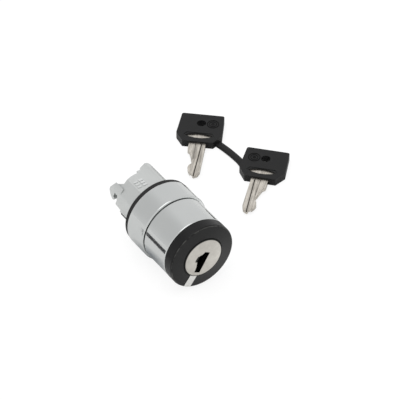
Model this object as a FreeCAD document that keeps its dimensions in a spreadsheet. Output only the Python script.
import FreeCAD, Part
import math
import operator
import os

import Sketcher

# Key-operated selector head for a 22 mm panel hole, lying on its bezel, with its two strapped keys beside it.
# Frame: origin on the lock axis in the plane of the panel seat, -Y towards the operator, +Y behind the panel, +Z up.
# Lengths are millimetres, angles are degrees. An angle about the lock axis is counted from +Z towards +X.

Vector = FreeCAD.Vector
os.makedirs("parts", exist_ok=True)
doc = FreeCAD.newDocument("key_switch")
sheet = doc.addObject("Spreadsheet::Sheet", "dims")

DIMENSIONS = {
    # barrel behind the panel
    "neck_radius": 11.1,
    "barrel_radius": 10.9,
    "neck_register": 1.5,
    "flat_distance": 9.45,
    "corner_distance": 10.35,
    "barrel_bore": 8.2,
    "barrel_edge": 12.4,
    "ear_end": 17.65,
    "clamp_radius": 13.2,
    "clamp_front": 6.3,
    "clamp_rear": 3.8,
    # sealing washer
    "gasket_radius": 14.5,
    "gasket_thick": 2.0,
    # bezel
    "bezel_radius": 14.8,
    "bezel_front": 12.35,
    "bezel_bore": 13.3,
    "sleeve_radius": 14.05,
    "sleeve_rear": 12.65,
    "sleeve_front": 26.5,
    "sleeve_bore": 12.75,
    "spigot_bore": 12.3,
    # turning front
    "knob_radius": 14.12,
    "knob_rear": 26.85,
    "knob_front": 31.2,
    "knob_cone": 0.5,
    "knob_edge": 0.65,
    "knob_bore": 8.7,
    "plug_radius": 8.4,
    "plug_front": 32.1,
    "core_radius": 7.6,
    "tail_radius": 4.0,
    "bar_width": 3.3,
    # lock
    "stator_radius": 10.0,
    "stator_front": 28.2,
    "way_offset": -0.5,
    "way_width": 2.85,
    "way_low": 2.55,
    "way_high": 6.7,
    "wafer_pitch": 3.4,
    "wafer_thick": 0.8,
    # drive and cam
    "stem_radius": 2.6,
    "square_half": 2.6,
    "track_radius": 6.8,
    "ball_radius": 1.2,
    "drum_radius": 7.75,
    "drum_face": 3.6,
    "cam_lead": 12.0,
    "cam_sweep": 114.0,
    "guide_front": 8.9,
    "guide_rear": 12.0,
    "plunger_half": 2.0,
    "plunger_inner": 4.2,
    "plunger_outer": 7.2,
    "plunger_end": 12.7,
    "running": 0.05,
    # keys
    "head_thick": 3.2,
    "head_length": 17.0,
    "head_top": 8.7,
    "head_side": 9.35,
    "head_foot": 6.3,
    "head_bevel": 4.6,
    "hole_radius": 1.85,
    "hole_depth": 5.5,
    "blade_half": 3.4,
    "blade_thick": 1.7,
    "blade_length": 19.8,
    "strap_width": 3.3,
    "strap_thick": 1.6,
}
for row, (alias, number) in enumerate(DIMENSIONS.items(), start=1):
    sheet.set(f"A{row}", alias.replace("_", " "))
    sheet.set(f"B{row}", str(number))
    sheet.setAlias(f"B{row}", alias)
doc.recompute()

# Attitudes of the parts.
REST_ANGLE = -150.0
CAM_ANGLE = -78.0
DETENT_PLANE = 0.4
TABLE = -DIMENSIONS["bezel_radius"]


class Size:
    """A length with the spreadsheet formula that drives it."""

    def __init__(self, value, formula):
        self.value = float(value)
        self.formula = formula

    def __add__(self, other):
        return combine(self, "+", other)

    def __radd__(self, other):
        return combine(other, "+", self)

    def __sub__(self, other):
        return combine(self, "-", other)

    def __rsub__(self, other):
        return combine(other, "-", self)

    def __mul__(self, other):
        return combine(self, "*", other)

    def __rmul__(self, other):
        return combine(other, "*", self)

    def __neg__(self):
        return combine(0, "-", self)


OPERATIONS = {"+": operator.add, "-": operator.sub, "*": operator.mul}


def as_size(length):
    return length if isinstance(length, Size) else Size(length, f"({float(length)})")


def combine(left, sign, right):
    left = as_size(left)
    right = as_size(right)
    return Size(OPERATIONS[sign](left.value, right.value), f"({left.formula} {sign} {right.formula})")


def dim(alias):
    return Size(DIMENSIONS[alias], f"dims.{alias}")


def new_body(label, groups=False):
    body = doc.addObject("PartDesign::Body", label)
    body.Label = label
    body.AllowCompound = groups
    return body


def origin_feature(body, role):
    return next(item for item in body.Origin.OriginFeatures if item.Role == role)


def new_sketch(body, plane, shift=None):
    """Sketch on one of the body's origin planes, moved along the plane's normal by shift."""
    sketch = body.newObject("Sketcher::SketchObject", f"{body.Label}_sketch")
    sketch.AttachmentSupport = [(origin_feature(body, plane), "")]
    sketch.MapMode = "FlatFace"
    if shift is not None:
        shift = as_size(shift)
        sketch.AttachmentOffset = FreeCAD.Placement(Vector(0, 0, shift.value), FreeCAD.Rotation())
        sketch.setExpression("AttachmentOffset.Base.z", shift.formula)
    return sketch


def drive(sketch, kind, geometry, length):
    """Tie one measure of a sketch element to the spreadsheet."""
    length = as_size(length)
    if kind == "Radius":
        index = sketch.addConstraint(Sketcher.Constraint("Radius", geometry, length.value))
    else:
        point = geometry[1]
        index = sketch.addConstraint(Sketcher.Constraint(kind, -1, 1, geometry[0], point, length.value))
    sketch.setExpression(f"Constraints[{index}]", length.formula)


def add_loop(sketch, corners):
    """Closed loop of straight edges, every corner driven from the sketch's origin."""
    corners = [(as_size(across), as_size(along)) for across, along in corners]
    first = sketch.GeometryCount
    count = len(corners)
    points = [Vector(across.value, along.value, 0) for across, along in corners]
    for index in range(count):
        sketch.addGeometry(Part.LineSegment(points[index], points[(index + 1) % count]), False)
    for index in range(count):
        following = first + (index + 1) % count
        sketch.addConstraint(Sketcher.Constraint("Coincident", first + index, 2, following, 1))
    for index, (across, along) in enumerate(corners):
        drive(sketch, "DistanceX", (first + index, 1), across)
        drive(sketch, "DistanceY", (first + index, 1), along)


def add_box(sketch, left, right, low, high):
    add_loop(sketch, [(left, low), (right, low), (right, high), (left, high)])


def add_circle(sketch, across, along, radius):
    across, along, radius = as_size(across), as_size(along), as_size(radius)
    centre = Vector(across.value, along.value, 0)
    index = sketch.addGeometry(Part.Circle(centre, Vector(0, 0, 1), radius.value), False)
    drive(sketch, "DistanceX", (index, 3), across)
    drive(sketch, "DistanceY", (index, 3), along)
    drive(sketch, "Radius", index, radius)


def revolve(body, corners):
    """Ring or shaft turned about the body's Y axis from a half section of (radius, y) corners."""
    sketch = new_sketch(body, "XY_Plane")
    add_loop(sketch, corners)
    turned = body.newObject("PartDesign::Revolution", f"{body.Label}_turned")
    turned.Profile = sketch
    turned.ReferenceAxis = (sketch, ["V_Axis"])
    turned.Angle = 360
    return turned


NORMAL_SIGN = {"XY_Plane": 1, "XZ_Plane": -1, "YZ_Plane": 1}


def extrude(body, kind, sketch, plane, towards, length, symmetric=False):
    """Pad or Pocket towards +1 or -1 along the world axis that the plane faces."""
    length = as_size(length)
    before = body.Shape.Volume if kind == "Pocket" else 0.0
    feature = body.newObject(f"PartDesign::{kind}", f"{body.Label}_{kind.lower()}")
    feature.Profile = sketch
    feature.Type = "Length"
    feature.Length = length.value
    feature.setExpression("Length", length.formula)
    if symmetric:
        feature.SideType = "Symmetric"
    along_normal = towards == NORMAL_SIGN[plane]
    feature.Reversed = not along_normal if kind == "Pad" else along_normal
    doc.recompute()
    if kind == "Pocket" and body.Shape.Volume > before - 1e-6:
        raise RuntimeError(f"{feature.Label} removes nothing")
    return feature


def pocket(body, plane, shift, loops, towards, length, symmetric=False):
    doc.recompute()
    sketch = new_sketch(body, plane, shift)
    for loop in loops:
        add_loop(sketch, loop)
    return extrude(body, "Pocket", sketch, plane, towards, length, symmetric)


def pad(body, plane, shift, loops, towards, length, symmetric=False):
    sketch = new_sketch(body, plane, shift)
    for loop in loops:
        add_loop(sketch, loop)
    return extrude(body, "Pad", sketch, plane, towards, length, symmetric)


def box_loop(left, right, low, high):
    return [(left, low), (right, low), (right, high), (left, high)]


def repeat_round(body, features, count, angle=360):
    """Copies of the features spaced about the lock axis."""
    pattern = body.newObject("PartDesign::PolarPattern", f"{body.Label}_round")
    pattern.Originals = features
    pattern.Axis = (origin_feature(body, "Y_Axis"), [""])
    pattern.Angle = angle
    pattern.Occurrences = count
    body.Tip = pattern
    doc.recompute()
    return pattern


def repeat_along(body, features, count, pitch):
    """Copies of the features spaced along the lock axis, towards the rear."""
    pattern = body.newObject("PartDesign::LinearPattern", f"{body.Label}_row")
    pattern.Originals = features
    pattern.Direction = (origin_feature(body, "Y_Axis"), [""])
    pattern.Length = pitch.value * (count - 1)
    pattern.setExpression("Length", f"{pitch.formula} * {count - 1}")
    pattern.Occurrences = count
    body.Tip = pattern
    doc.recompute()
    return pattern


def soften(body, choose, radius):
    """Fillet the edges of the body that choose accepts."""
    doc.recompute()
    tip = body.Tip
    names = [f"Edge{index}" for index, edge in enumerate(tip.Shape.Edges, start=1) if choose(edge)]
    fillet = body.newObject("PartDesign::Fillet", f"{body.Label}_fillet")
    fillet.Base = (tip, names)
    fillet.Radius = radius
    doc.recompute()
    return fillet


def place_turned(body, angle, shift=Vector(0, 0, 0)):
    """Turn a body about the lock axis, after moving it by shift in its own frame."""
    turn = FreeCAD.Rotation(Vector(0, 1, 0), angle)
    body.Placement = FreeCAD.Placement(turn.multVec(shift), turn)


def ring_edge(y, radius):
    """Chooser for a full circular edge about the lock axis."""

    def chosen(edge):
        curve = edge.Curve
        return (
            isinstance(curve, Part.Circle)
            and abs(curve.Center.y - y) < 1e-3
            and abs(curve.Radius - radius) < 1e-3
            and abs(curve.Center.x) < 1e-3
        )

    return chosen


nodes = []

# ---------------------------------------------------------------- mounting barrel
barrel = new_body("mounting_barrel")
nodes.append(barrel)
revolve(
    barrel,
    [
        (dim("barrel_bore"), -dim("clamp_front")),
        (dim("clamp_radius"), -dim("clamp_front")),
        (dim("clamp_radius"), -dim("clamp_rear")),
        (dim("barrel_radius"), -dim("clamp_rear")),
        (dim("barrel_radius"), 0),
        (dim("neck_radius"), 0),
        (dim("neck_radius"), dim("neck_register")),
        (dim("barrel_radius"), dim("neck_register")),
        (dim("barrel_radius"), dim("ear_end")),
        (dim("barrel_bore"), dim("ear_end")),
    ],
)
# three flats that run from the round register to the rear
flat_side = box_loop(-dim("neck_radius"), dim("neck_radius"), dim("flat_distance"), dim("neck_radius") + 1)
flat = pocket(barrel, "XZ_Plane", -dim("neck_register"), [flat_side], 1, dim("ear_end"))
repeat_round(barrel, [flat], 3, 180)
pad_front = dim("barrel_edge") - 1.7
# two opposite corners are flattened too; the raised pad of the hooked ear keeps the full radius
reach = DIMENSIONS["corner_distance"] * math.sqrt(2)
for side in (1, -1):
    corner_cut = [(-(reach - 3) * side, 3 * side), (-3 * side, (reach - 3) * side), (-3 * side, 13 * side),
                  (-13 * side, 13 * side), (-13 * side, 3 * side)]
    pocket(barrel, "XZ_Plane", -dim("neck_register"), [corner_cut], 1, pad_front - dim("neck_register"))
pocket(
    barrel,
    "XZ_Plane",
    -pad_front + 0.1,
    [[(-8.2, reach - 8.2), (-3, reach - 3), (-3, 13), (-8.2, 13)]],
    1,
    dim("ear_end"),
)
# rear rim seen from above: gap between the hooked ear on the left and the ramped ear on the right
edge = dim("barrel_edge")
tail_end = dim("ear_end") + 1
pocket(
    barrel,
    "XY_Plane",
    None,
    [[(-8.2, edge + 3.1), (-6.7, edge + 0.1), (-5.3, edge + 0.1), (-3.35, edge + 0.7), (-1.5, edge + 1.05),
      (0.3, edge + 1.05), (0.4, edge + 2.2), (1.9, edge + 2.0), (2.3, edge + 2.9), (7.4, edge + 5.2),
      (7.4, tail_end), (-8.2, tail_end)]],
    1,
    12,
)
# rear rim seen from the left: the hook, its sloping back and the opening under it
pocket(
    barrel,
    "YZ_Plane",
    None,
    [[(edge - 0.3, 3.8), (edge + 1.5, 4.0), (edge + 1.8, 2.1), (edge + 1.0, 1.7), (edge + 1.1, 1.1),
      (edge + 1.95, 0.5), (edge + 3.4, 1.5), (edge + 5.0, 3.45), (edge + 5.02, 4.5), (edge + 3.1, 7.3),
      (edge + 3.1, 11.5), (tail_end, 11.5), (tail_end, -12), (edge - 2.6, -12),
      (edge - 2.6, -2.4), (edge - 3.4, -1.0), (edge, -0.3), (edge - 0.65, 1.9)]],
    -1,
    12,
)
# rear rim on the right: the ramped ear ends in a hook, and the wall below it stops at the rim
pocket(
    barrel,
    "YZ_Plane",
    None,
    [[(edge, -12), (edge, -3.0), (edge + 2.4, -1.6), (tail_end, -1.6), (tail_end, -12)]],
    1,
    12,
)
# lower ear on the flat underneath
pad(barrel, "XZ_Plane", 4.0 - edge, [box_loop(-3.2, 3.2, -dim("flat_distance"), 1.15 - dim("flat_distance"))], 1, 7.4)
# keying slot through the wall on the left
pocket(barrel, "YZ_Plane", -dim("neck_radius") - 1, [box_loop(2.5, edge - 2.5, -3.75, -2.65)], 1, 4.6)
# generic raised marks on the upper flat
marks = []
for column, tall in ((-4.5, 0.7), (-2.1, 1.05)):
    for step in range(3):
        low = 5.8 + 1.5 * step
        marks.append(box_loop(column, column + 1.8, low, low + tall))
pad(barrel, "XY_Plane", dim("flat_distance") - 0.1, marks, 1, 0.28)
# hole for the stator's dowel
sketch = new_sketch(barrel, "XZ_Plane", dim("clamp_front"))
add_circle(sketch, 0, 11.2, 0.75)
extrude(barrel, "Pocket", sketch, "XZ_Plane", 1, 2.0)

# ---------------------------------------------------------------- sealing washer
gasket = new_body("panel_gasket")
nodes.append(gasket)
revolve(
    gasket,
    [
        (dim("neck_radius") + 0.05, 0),
        (dim("neck_radius") + 0.05, -dim("gasket_thick")),
        (dim("gasket_radius"), -dim("gasket_thick")),
        (dim("gasket_radius"), -0.3),
        (dim("gasket_radius") - 0.2, 0),
    ],
)

# ---------------------------------------------------------------- bezel
bezel = new_body("bezel_ring")
nodes.append(bezel)
revolve(
    bezel,
    [
        (dim("neck_radius") + 0.05, -dim("gasket_thick")),
        (dim("neck_radius") + 0.05, -dim("clamp_rear")),
        (dim("bezel_bore"), -dim("clamp_rear")),
        (dim("bezel_bore"), -dim("bezel_front")),
        (dim("bezel_radius"), -dim("bezel_front")),
        (dim("bezel_radius"), -dim("gasket_thick")),
    ],
)
soften(bezel, ring_edge(-DIMENSIONS["bezel_front"], DIMENSIONS["bezel_radius"]), 0.6)
soften(bezel, ring_edge(-DIMENSIONS["gasket_thick"], DIMENSIONS["bezel_radius"]), 0.3)

sleeve = new_body("bezel_sleeve")
nodes.append(sleeve)
revolve(
    sleeve,
    [
        (dim("spigot_bore"), -dim("clamp_front")),
        (dim("bezel_bore") - 0.05, -dim("clamp_front")),
        (dim("bezel_bore") - 0.05, -dim("sleeve_rear")),
        (dim("sleeve_radius"), -dim("sleeve_rear")),
        (dim("sleeve_radius"), -dim("sleeve_front")),
        (dim("sleeve_bore"), -dim("sleeve_front")),
        (dim("sleeve_bore"), -(dim("sleeve_front") - 6)),
        (dim("spigot_bore"), -(dim("sleeve_front") - 6.6)),
    ],
)
soften(sleeve, ring_edge(-DIMENSIONS["sleeve_rear"], DIMENSIONS["sleeve_radius"]), 0.3)
soften(sleeve, ring_edge(-DIMENSIONS["sleeve_front"], DIMENSIONS["sleeve_radius"]), 0.5)

# ---------------------------------------------------------------- lock stator, dowel and O-ring
seal_y = dim("stator_front") - 2.0
stator = new_body("lock_stator")
nodes.append(stator)
revolve(
    stator,
    [
        (dim("tail_radius") + dim("running"), -dim("clamp_front")),
        (dim("spigot_bore") - 0.1, -dim("clamp_front")),
        (dim("spigot_bore") - 0.1, -(dim("clamp_front") + 2)),
        (dim("stator_radius"), -(dim("clamp_front") + 2)),
        (dim("stator_radius"), -(seal_y - 0.95)),
        (dim("stator_radius") - 0.45, -(seal_y - 0.95)),
        (dim("stator_radius") - 0.45, -(seal_y + 0.95)),
        (dim("stator_radius"), -(seal_y + 0.95)),
        (dim("stator_radius"), -dim("stator_front")),
        (dim("core_radius") + dim("running"), -dim("stator_front")),
        (dim("core_radius") + dim("running"), -(dim("clamp_front") + 2.5)),
        (dim("tail_radius") + dim("running"), -(dim("clamp_front") + 2.5)),
    ],
)
# the two grooves that the wafers lock into
wafer_groove = pocket(
    stator,
    "XZ_Plane",
    dim("clamp_front") + 4,
    [box_loop(-2.9, 2.9, 5.0, 8.9)],
    -1,
    16.5,
)
repeat_round(stator, [wafer_groove], 2)
place_turned(stator, REST_ANGLE)
sketch = new_sketch(stator, "XZ_Plane", dim("clamp_front"))
dowel_turn = FreeCAD.Rotation(Vector(0, 1, 0), -REST_ANGLE).multVec(Vector(0, 0, 11.2))
add_circle(sketch, dowel_turn.x, dowel_turn.z, 0.75)
extrude(stator, "Pocket", sketch, "XZ_Plane", -1, 2.0)

dowel = new_body("stator_dowel")
nodes.append(dowel)
sketch = new_sketch(dowel, "XZ_Plane", dim("clamp_front") - 1.9)
add_circle(sketch, 0, 11.2, 0.75)
extrude(dowel, "Pad", sketch, "XZ_Plane", -1, 3.8)

seal = doc.addObject("Part::Torus", "seal_ring")
seal.Label = "seal_ring"
seal.Radius1 = 10.4
seal.setExpression("Radius1", "dims.stator_radius + 0.4")
seal.Radius2 = 0.8
seal.setExpression("Radius2", "dims.sleeve_bore - 1.55 - dims.stator_radius - 0.4")
seal.Placement = FreeCAD.Placement(Vector(0, -seal_y.value, 0), FreeCAD.Rotation(Vector(1, 0, 0), 90))
nodes.append(seal)

# ---------------------------------------------------------------- lock plug
plug = new_body("lock_plug")
nodes.append(plug)
core_end = dim("clamp_front") + 2.8
revolve(
    plug,
    [
        (0, -dim("plug_front")),
        (dim("plug_radius") - 0.4, -dim("plug_front")),
        (dim("plug_radius"), -(dim("plug_front") - 0.3)),
        (dim("plug_radius"), -(dim("plug_front") - 2.7)),
        (dim("core_radius"), -(dim("plug_front") - 2.7)),
        (dim("core_radius"), -core_end),
        (dim("tail_radius"), -core_end),
        (dim("tail_radius"), -(dim("clamp_front") - 0.3)),
        (dim("tail_radius") - 0.8, -(dim("clamp_front") - 0.3)),
        (dim("tail_radius") - 0.8, -(dim("clamp_front") - 0.9)),
        (dim("tail_radius"), -(dim("clamp_front") - 0.9)),
        (dim("tail_radius"), -(dim("clamp_front") - 1.5)),
        (0, -(dim("clamp_front") - 1.5)),
    ],
)
half = dim("square_half")
pad(plug, "XZ_Plane", dim("clamp_front") - 1.5, [box_loop(-half, half, -half, half)], 1, 3.2)
# entry of the keyway: a parallel slot with a bevelled lead-in on one side
way_left = dim("way_offset") - dim("way_width") * 0.5
way_right = dim("way_offset") + dim("way_width") * 0.5
pocket(
    plug,
    "XZ_Plane",
    dim("plug_front"),
    [[(way_left, -dim("way_low")), (way_right - 0.4, -dim("way_low") - 0.1), (way_right + 0.2, -1.5),
      (way_right + 2.05, -0.1), (way_right + 2.25, 1.2), (way_right + 2.1, 2.3), (way_right + 1.1, 2.2),
      (way_right + 0.3, 4.4), (way_right, dim("way_high")), (way_left + 0.25, dim("way_high") - 0.1)]],
    1,
    1.5,
)
pocket(plug, "XZ_Plane", dim("plug_front"), [box_loop(-1.45, 0.5, -1.7, 5.8)], 1, 22.6)
# slots for the wafers and, beside them, for their springs
first_wafer = dim("plug_front") - 6.6
slot = pocket(plug, "XZ_Plane", first_wafer, [box_loop(-2.75, 2.75, -9, 9)], 1, dim("wafer_thick") + 0.15)
spring_slot = pocket(plug, "XZ_Plane", first_wafer + 0.2, [box_loop(-4.3, -2.7, -5.6, -0.4)], 1, 1.35)
repeat_along(plug, [slot, spring_slot], 5, dim("wafer_pitch"))
# notch behind the face that takes the knob's driving tongue
pocket(plug, "XZ_Plane", dim("plug_front") - 1.55, [box_loop(-1.5, 1.5, -9.2, -7.6)], 1, 1.15)
place_turned(plug, REST_ANGLE)

# ---------------------------------------------------------------- wafers and their springs
wafers = new_body("tumbler_wafers", groups=True)
nodes.append(wafers)
wafer = pad(
    wafers,
    "XZ_Plane",
    first_wafer - 0.07,
    [
        [(-2.65, -7.0), (2.65, -7.0), (2.65, 7.0), (-2.65, 7.0), (-2.65, -1.0), (-4.2, -1.0), (-4.2, -1.9),
         (-2.65, -1.9)],
        box_loop(-1.6, 0.7, -1.9, 6.0),
    ],
    1,
    dim("wafer_thick"),
)
repeat_along(wafers, [wafer], 5, dim("wafer_pitch"))
place_turned(wafers, REST_ANGLE)


def coil(label, wire, radius, pitch, height, sketch_plane_shift=None):
    """Compression spring about the body's X axis, from x = 0."""
    body = new_body(label, groups=True)
    sketch = new_sketch(body, "XY_Plane", sketch_plane_shift)
    add_circle(sketch, 0, radius, wire)
    spring = body.newObject("PartDesign::AdditiveHelix", f"{label}_helix")
    spring.Profile = sketch
    spring.ReferenceAxis = (sketch, ["H_Axis"])
    spring.Mode = "pitch-height-angle"
    spring.Pitch = pitch
    spring.Height = height
    return body, spring


wafer_springs, spring = coil("wafer_springs", 0.12, 0.42, 0.62, 3.1)
repeat_along(wafer_springs, [spring], 5, dim("wafer_pitch"))
spring_centre = Vector(-3.5, -(first_wafer.value + 0.2) + 0.675, -5.4)
quarter = FreeCAD.Rotation(Vector(0, 1, 0), -90)
turn = FreeCAD.Rotation(Vector(0, 1, 0), REST_ANGLE)
wafer_springs.Placement = FreeCAD.Placement(turn.multVec(spring_centre), turn.multiply(quarter))
nodes.append(wafer_springs)

# ---------------------------------------------------------------- knob ring and its white pointer
knob_face = dim("knob_front")
knob = new_body("knob_ring")
nodes.append(knob)
revolve(
    knob,
    [
        (dim("knob_bore"), -(knob_face + dim("knob_cone"))),
        (dim("knob_radius") - dim("knob_edge"), -knob_face),
        (dim("knob_radius") - 0.19, -(knob_face - 0.19)),
        (dim("knob_radius"), -(knob_face - dim("knob_edge"))),
        (dim("knob_radius"), -dim("knob_rear")),
        (dim("sleeve_bore") - 0.4, -dim("knob_rear")),
        (dim("sleeve_bore") - 0.4, -(dim("knob_rear") - 2.35)),
        (dim("sleeve_bore") - 1.5, -(dim("knob_rear") - 2.35)),
        (dim("sleeve_bore") - 1.5, -(knob_face - 2.5)),
        (dim("core_radius") + 0.15, -(knob_face - 2.5)),
        (dim("core_radius") + 0.15, -(dim("plug_front") - 2.7)),
        (dim("knob_bore"), -(dim("plug_front") - 2.7)),
    ],
)
bar_half = dim("bar_width") * 0.5
pocket(
    knob,
    "XZ_Plane",
    knob_face + 1,
    [box_loop(-bar_half, bar_half, dim("knob_bore") - 0.5, dim("knob_radius") + 1)],
    1,
    1.9,
)
pad(knob, "XZ_Plane", dim("plug_front") - 1.6, [box_loop(-1.4, 1.4, -9.1, -7.8)], 1, 1.5)
place_turned(knob, REST_ANGLE)

bar = new_body("index_bar")
nodes.append(bar)
revolve(
    bar,
    [
        (dim("knob_bore") - 0.1, -(knob_face + dim("knob_cone") + 0.04)),
        (dim("knob_radius") - dim("knob_edge") + 0.05, -(knob_face + 0.04)),
        (dim("knob_radius") - 0.1, -(knob_face - 0.2)),
        (dim("knob_radius") - 0.02, -(knob_face - dim("knob_edge"))),
        (dim("knob_radius") - 0.02, -(knob_face - 0.9)),
        (dim("knob_bore") - 0.1, -(knob_face - 0.9)),
    ],
)
far = dim("knob_radius") + 1
pocket(
    bar,
    "XZ_Plane",
    knob_face + 2,
    [[(-far, -far), (far, -far), (far, far), (bar_half - 0.03, far), (bar_half - 0.03, 2),
      (0.03 - bar_half, 2), (0.03 - bar_half, far), (-far, far)]],
    1,
    6,
)
place_turned(bar, REST_ANGLE)

# ---------------------------------------------------------------- plug retainer
clip = new_body("plug_clip")
nodes.append(clip)
revolve(
    clip,
    [
        (dim("tail_radius") - 0.75, -(dim("clamp_front") - 0.35)),
        (dim("tail_radius") + 1.6, -(dim("clamp_front") - 0.35)),
        (dim("tail_radius") + 1.6, -(dim("clamp_front") - 0.85)),
        (dim("tail_radius") - 0.75, -(dim("clamp_front") - 0.85)),
    ],
)
pocket(clip, "XZ_Plane", dim("clamp_front"), [box_loop(-2.2, 2.2, 0, 8)], 1, 3)
place_turned(clip, REST_ANGLE)

washer = new_body("thrust_washer")
nodes.append(washer)
revolve(
    washer,
    [
        (dim("tail_radius") + 0.02, -(dim("clamp_front") - 0.08)),
        (dim("tail_radius") + 2.4, -(dim("clamp_front") - 0.08)),
        (dim("tail_radius") + 2.4, -(dim("clamp_front") - 0.33)),
        (dim("tail_radius") + 0.02, -(dim("clamp_front") - 0.33)),
    ],
)
place_turned(washer, REST_ANGLE)

# ---------------------------------------------------------------- drive stem
stem_front = dim("clamp_front") - 1.7
stem = new_body("drive_stem")
nodes.append(stem)
revolve(
    stem,
    [
        (0, -stem_front),
        (4.7, -stem_front),
        (4.7, -(stem_front - 3.4)),
        (dim("stem_radius"), -(stem_front - 3.4)),
        (dim("stem_radius"), dim("guide_rear") - 0.6),
        (dim("stem_radius") - 0.4, dim("guide_rear") - 0.2),
        (0, dim("guide_rear") - 0.2),
    ],
)
socket = half + 0.05
pocket(stem, "XZ_Plane", stem_front, [box_loop(-socket, socket, -socket, socket)], 1, 3.1)
place_turned(stem, REST_ANGLE)

# ---------------------------------------------------------------- detent: carrier, balls, springs and notched ring
carrier = new_body("detent_carrier")
nodes.append(carrier)
revolve(
    carrier,
    [(dim("stem_radius"), -1.4), (6.4, -1.4), (6.4, 1.4), (dim("stem_radius"), 1.4)],
)
for side in (1, -1):
    doc.recompute()
    sketch = new_sketch(carrier, "YZ_Plane", side * 3.1)
    add_circle(sketch, 0, 0, dim("ball_radius") + 0.02)
    extrude(carrier, "Pocket", sketch, "YZ_Plane", side, 5)
place_turned(carrier, REST_ANGLE, Vector(0, DETENT_PLANE, 0))

balls = doc.addObject("Part::Compound", "detent_balls")
balls.Label = "detent_balls"
ball_links = []
for side in (1, -1):
    ball = doc.addObject("Part::Sphere", f"ball_{'right' if side > 0 else 'left'}")
    ball.Radius = 1.2
    ball.setExpression("Radius", "dims.ball_radius")
    ball.Placement = FreeCAD.Placement(Vector(side * 5.55, 0, 0), FreeCAD.Rotation())
    ball_links.append(ball)
balls.Links = ball_links
place_turned(balls, REST_ANGLE, Vector(0, DETENT_PLANE, 0))
nodes.append(balls)

detent_springs, spring = coil("detent_springs", 0.14, 0.8, 0.42, 1.0)
sketch = spring.Profile[0]
sketch.AttachmentOffset = FreeCAD.Placement(Vector(3.26, 0, 0), FreeCAD.Rotation())
doc.recompute()
repeat_round(detent_springs, [spring], 2)
place_turned(detent_springs, REST_ANGLE, Vector(0, DETENT_PLANE, 0))
nodes.append(detent_springs)

track = new_body("detent_ring")
nodes.append(track)
revolve(
    track,
    [
        (dim("track_radius"), -1.4),
        (dim("barrel_bore") - 0.05, -1.4),
        (dim("barrel_bore") - 0.05, 1.5),
        (dim("track_radius"), 1.5),
    ],
)
doc.recompute()
sketch = new_sketch(track, "XZ_Plane", 2.0)
add_circle(sketch, 6.35, 0, 1.28)
scallop = extrude(track, "Pocket", sketch, "XZ_Plane", 1, 4)
repeat_round(track, [scallop], 4)
lug_side = FreeCAD.Rotation(Vector(0, 1, 0), 45)
lug = []
for out, side in ((7.0, -0.6), (8.05, -0.6), (8.05, 0.6), (7.0, 0.6)):
    corner = lug_side.multVec(Vector(side, 0, out))
    lug.append((corner.x, corner.z))
pad(track, "XZ_Plane", -1.4, [lug], 1, 1.4)
place_turned(track, REST_ANGLE, Vector(0, DETENT_PLANE, 0))

# ---------------------------------------------------------------- cam drum with two helical ramps
drum = new_body("cam_drum")
nodes.append(drum)
rise = dim("cam_lead") * dim("cam_sweep") * (1 / 360.0)
revolve(
    drum,
    [
        (dim("stem_radius"), dim("drum_face") - 1.6),
        (dim("drum_radius"), dim("drum_face") - 1.6),
        (dim("drum_radius"), dim("drum_face") + rise),
        (3.7, dim("drum_face") + rise),
        (3.7, dim("guide_front") - 0.5),
        (dim("stem_radius"), dim("guide_front") - 0.5),
    ],
)
doc.recompute()
sketch = new_sketch(drum, "XY_Plane")
add_box(sketch, 3.7, dim("drum_radius") + 1, dim("drum_face"), dim("drum_face") + 6)
ramp = drum.newObject("PartDesign::SubtractiveHelix", "cam_ramp")
ramp.Profile = sketch
ramp.ReferenceAxis = (sketch, ["V_Axis"])
ramp.Mode = "pitch-height-angle"
ramp.Pitch = DIMENSIONS["cam_lead"]
ramp.setExpression("Pitch", "dims.cam_lead")
ramp.Height = rise.value
ramp.setExpression("Height", rise.formula)
ramp.LeftHanded = True
doc.recompute()


def sector(inner, outer, start, end, steps):
    """Corners of a ring sector between two angles about the lock axis."""
    angles = [start + (end - start) * step / steps for step in range(steps + 1)]
    rim = [(outer * math.sin(math.radians(a)), outer * math.cos(math.radians(a))) for a in angles]
    root = [(inner * math.sin(math.radians(a)), inner * math.cos(math.radians(a))) for a in reversed(angles)]
    return rim + root


valley = pocket(drum, "XZ_Plane", -dim("drum_face"), [sector(3.7, 9.2, 90, 156, 6)], 1, 8)
repeat_round(drum, [ramp, valley], 2)
# notch that turns against the stop lug of the detent ring
lug_angle = REST_ANGLE + 45 - CAM_ANGLE
pocket(
    drum,
    "XZ_Plane",
    -(dim("drum_face") - 1.6),
    [sector(6.7, 9.0, lug_angle - 90 - 8, lug_angle + 8, 9)],
    1,
    1.2,
)
place_turned(drum, CAM_ANGLE)

# ---------------------------------------------------------------- plunger guide and the two plungers
guide = new_body("plunger_guide")
nodes.append(guide)
revolve(
    guide,
    [
        (dim("stem_radius") + dim("running"), dim("guide_front")),
        (dim("barrel_bore") - 0.03, dim("guide_front")),
        (dim("barrel_bore") - 0.03, dim("guide_rear")),
        (dim("stem_radius") + dim("running"), dim("guide_rear")),
    ],
)
wide = dim("plunger_half") + dim("running")
windows = []
for side in (1, -1):
    low = side * (dim("plunger_inner") - dim("running"))
    high = side * (dim("plunger_outer") + dim("running"))
    windows.append(box_loop(-wide, wide, low, high))
pocket(guide, "XZ_Plane", -dim("guide_front"), windows, 1, 5)

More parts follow.
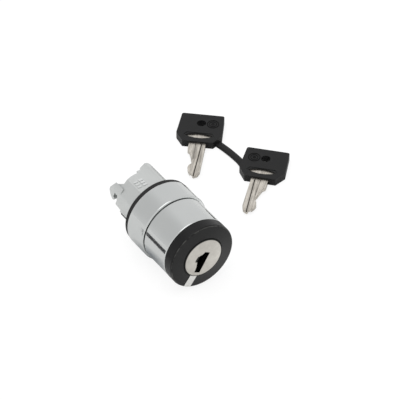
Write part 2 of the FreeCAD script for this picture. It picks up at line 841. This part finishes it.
for label, side in (("plunger_left", 1), ("plunger_right", -1)):
    plunger = new_body(label)
    nodes.append(plunger)
    reach = dim("plunger_outer") - dim("plunger_inner")
    level = dim("plunger_inner")
    span = dim("plunger_half")
    nose = dim("drum_face") + 0.54
    pad(
        plunger,
        "XY_Plane",
        level,
        [[(0.9, nose - 0.14), (0.0, nose), (-span, nose + 0.96), (-span, nose + 1.31), (-span - 0.6, nose + 1.31),
          (-span - 0.6, nose + 1.61), (-span, nose + 1.61), (-span, dim("plunger_end") - 0.3),
          (0.3 - span, dim("plunger_end")), (span - 0.3, dim("plunger_end")), (span, dim("plunger_end") - 0.3),
          (span, nose + 1.61), (span + 0.6, nose + 1.61), (span + 0.6, nose + 1.31), (span, nose + 1.31),
          (span, nose + 0.3)]],
        1,
        reach,
    )
    place_turned(plunger, 0 if side > 0 else 180)

# ---------------------------------------------------------------- keys
BLADE_EDGE = [
    (-3.4, 3.6), (-3.3, 4.8), (-2.3, 5.7), (-1.5, 8.3), (-1.1, 9.8), (-0.6, 11.3), (-0.6, 12.7), (-1.5, 13.7),
    (-1.8, 15.3), (-1.4, 16.7), (-0.6, 18.1),
]
# (x, y) of the head's upper middle, turn about +Z, and the side that carries the cuts
KEYS = [("1", 54.75, 48.85, -42.3, 1), ("2", 64.05, 15.99, -46.9, -1)]


def lay_key(body, x, y, turn_angle):
    turn = FreeCAD.Rotation(Vector(0, 0, 1), turn_angle)
    body.Placement = FreeCAD.Placement(Vector(x, y, TABLE), turn)


def upright_corner(edge):
    """Chooser for a head's four upper corners, which stand upright."""
    return abs(edge.BoundBox.ZLength - DIMENSIONS["head_thick"]) < 1e-3 and edge.BoundBox.YMax > -14


head_bottom = -dim("head_length")
for number, x, y, turn_angle, side in KEYS:
    head = new_body(f"key_head_{number}")
    nodes.append(head)
    shoulder = dim("head_length") - dim("head_bevel")
    pad(
        head,
        "XY_Plane",
        None,
        [[(-dim("head_top"), 0), (dim("head_top"), 0), (dim("head_side"), -shoulder),
          (dim("head_foot"), head_bottom), (-dim("head_foot"), head_bottom), (-dim("head_side"), -shoulder)]],
        1,
        dim("head_thick"),
    )
    soften(head, upright_corner, 0.9)
    middle = dim("head_thick") * 0.5
    blade_low = middle - dim("blade_thick") * 0.5
    # cavity that holds the key's bow, and the slot that its blade leaves through
    width = dim("blade_half")
    pocket(head, "XY_Plane", blade_low, [box_loop(-5.9, 5.9, head_bottom + 1.2, -9.3)], 1, dim("blade_thick"))
    pocket(head, "XY_Plane", blade_low, [box_loop(-width, width, head_bottom - 1, head_bottom + 1.3)], 1,
           dim("blade_thick"))
    # shallow recess, and in it the pointed oval window over the bow
    pocket(
        head,
        "XY_Plane",
        dim("head_thick") + 1,
        [[(-6.3, -13.1), (-5.2, -11.5), (5.2, -11.5), (6.3, -13.1), (5.2, -14.8), (-5.2, -14.8)]],
        -1,
        1.15,
    )
    pocket(
        head,
        "XY_Plane",
        dim("head_thick") + 1,
        [[(-5.75, -13.1), (-3.9, -12.25), (-1.4, -11.7), (1.4, -11.7), (3.9, -12.25), (5.75, -13.1), (3.9, -14.0),
          (1.4, -14.55), (-1.4, -14.55), (-3.9, -14.0)]],
        -1,
        1.8,
    )
    sketch = new_sketch(head, "XY_Plane", dim("head_thick") + 1)
    add_circle(sketch, 0, -dim("hole_depth"), dim("hole_radius"))
    extrude(head, "Pocket", sketch, "XY_Plane", -1, dim("head_thick") + 2)
    lay_key(head, x, y, turn_angle)

    blade = new_body(f"key_blade_{number}")
    nodes.append(blade)
    shoulder = head_bottom + 1.25
    outline = [(-5.8 * side, -9.4), (-5.8 * side, shoulder), (-width * side, shoulder)]
    outline += [(across * side, head_bottom - along) for across, along in BLADE_EDGE]
    outline += [
        (1.2 * side, head_bottom - dim("blade_length")),
        (2.7 * side, head_bottom - 18.8),
        (width * side, head_bottom - 16.9),
        (width * side, shoulder),
        (5.8 * side, shoulder),
        (5.8 * side, -9.4),
    ]
    pad(blade, "XY_Plane", blade_low, [outline], 1, dim("blade_thick"))
    # milled grooves along both faces
    blade_top = middle + dim("blade_thick") * 0.5
    groove_top = [(0.95 * side, head_bottom - 21), (1.4 * side, head_bottom - 21), (1.8 * side, head_bottom - 9),
                  (2.0 * side, head_bottom - 1.2), (1.6 * side, head_bottom - 0.3), (1.35 * side, head_bottom - 9)]
    pocket(blade, "XY_Plane", blade_top, [groove_top], -1, 0.6)
    groove_edge = [(-0.5 * side, head_bottom - 10), (-0.1 * side, head_bottom - 10),
                   (-0.3 * side, head_bottom - 0.3), (-0.7 * side, head_bottom - 0.3)]
    pocket(blade, "XY_Plane", blade_top, [groove_edge], -1, 0.25)
    groove_low = [(-0.3 * side, head_bottom - 21), (0.7 * side, head_bottom - 21),
                  (0.7 * side, head_bottom - 0.3), (-0.3 * side, head_bottom - 0.3)]
    pocket(blade, "XY_Plane", blade_low, [groove_low], 1, 0.55)
    lay_key(blade, x, y, turn_angle)

# ---------------------------------------------------------------- strap between the heads
# a flat band on an arc through three points, trimmed where it meets the heads
strap = doc.addObject("Part::Feature", "key_strap")
strap.Label = "key_strap"
strap_route = [Vector(50.5, 34.5, 0), Vector(51.85, 25.5, 0), Vector(52.05, 15.0, 0)]
half_width = sheet.get("strap_width") * 0.5
middle_arc = Part.Arc(*strap_route).toShape().Curve
centre = middle_arc.Center
outer, inner = [
    [centre + (point - centre).normalize() * (middle_arc.Radius + grow) for point in strap_route]
    for grow in (half_width, -half_width)
]
edges = [
    Part.Arc(*outer).toShape(),
    Part.LineSegment(outer[2], inner[2]).toShape(),
    Part.Arc(inner[2], inner[1], inner[0]).toShape(),
    Part.LineSegment(inner[0], outer[0]).toShape(),
]
band = Part.Face(Part.Wire(edges)).extrude(Vector(0, 0, sheet.get("strap_thick")))
band.translate(Vector(0, 0, TABLE))
doc.recompute()
trimmed = band.cut([node.Shape for node in nodes if node.Label.startswith("key_head")])
strap.Shape = max(trimmed.Solids, key=lambda solid: solid.Volume)
nodes.append(strap)

# ---------------------------------------------------------------- check and write
doc.recompute()
for item in doc.Objects:
    if "Invalid" in item.State or "Error" in item.State:
        raise RuntimeError(f"{item.Label} did not compute: {item.State}")
for node in nodes:
    shape = node.Shape
    if shape.isNull() or not shape.isValid() or not shape.Solids:
        raise RuntimeError(f"{node.Label} has no valid solid")
    shape.exportStep(f"parts/{node.Label}.step")
    print(f"{node.Label:18s} solids {len(shape.Solids)}  volume {shape.Volume:9.2f}")
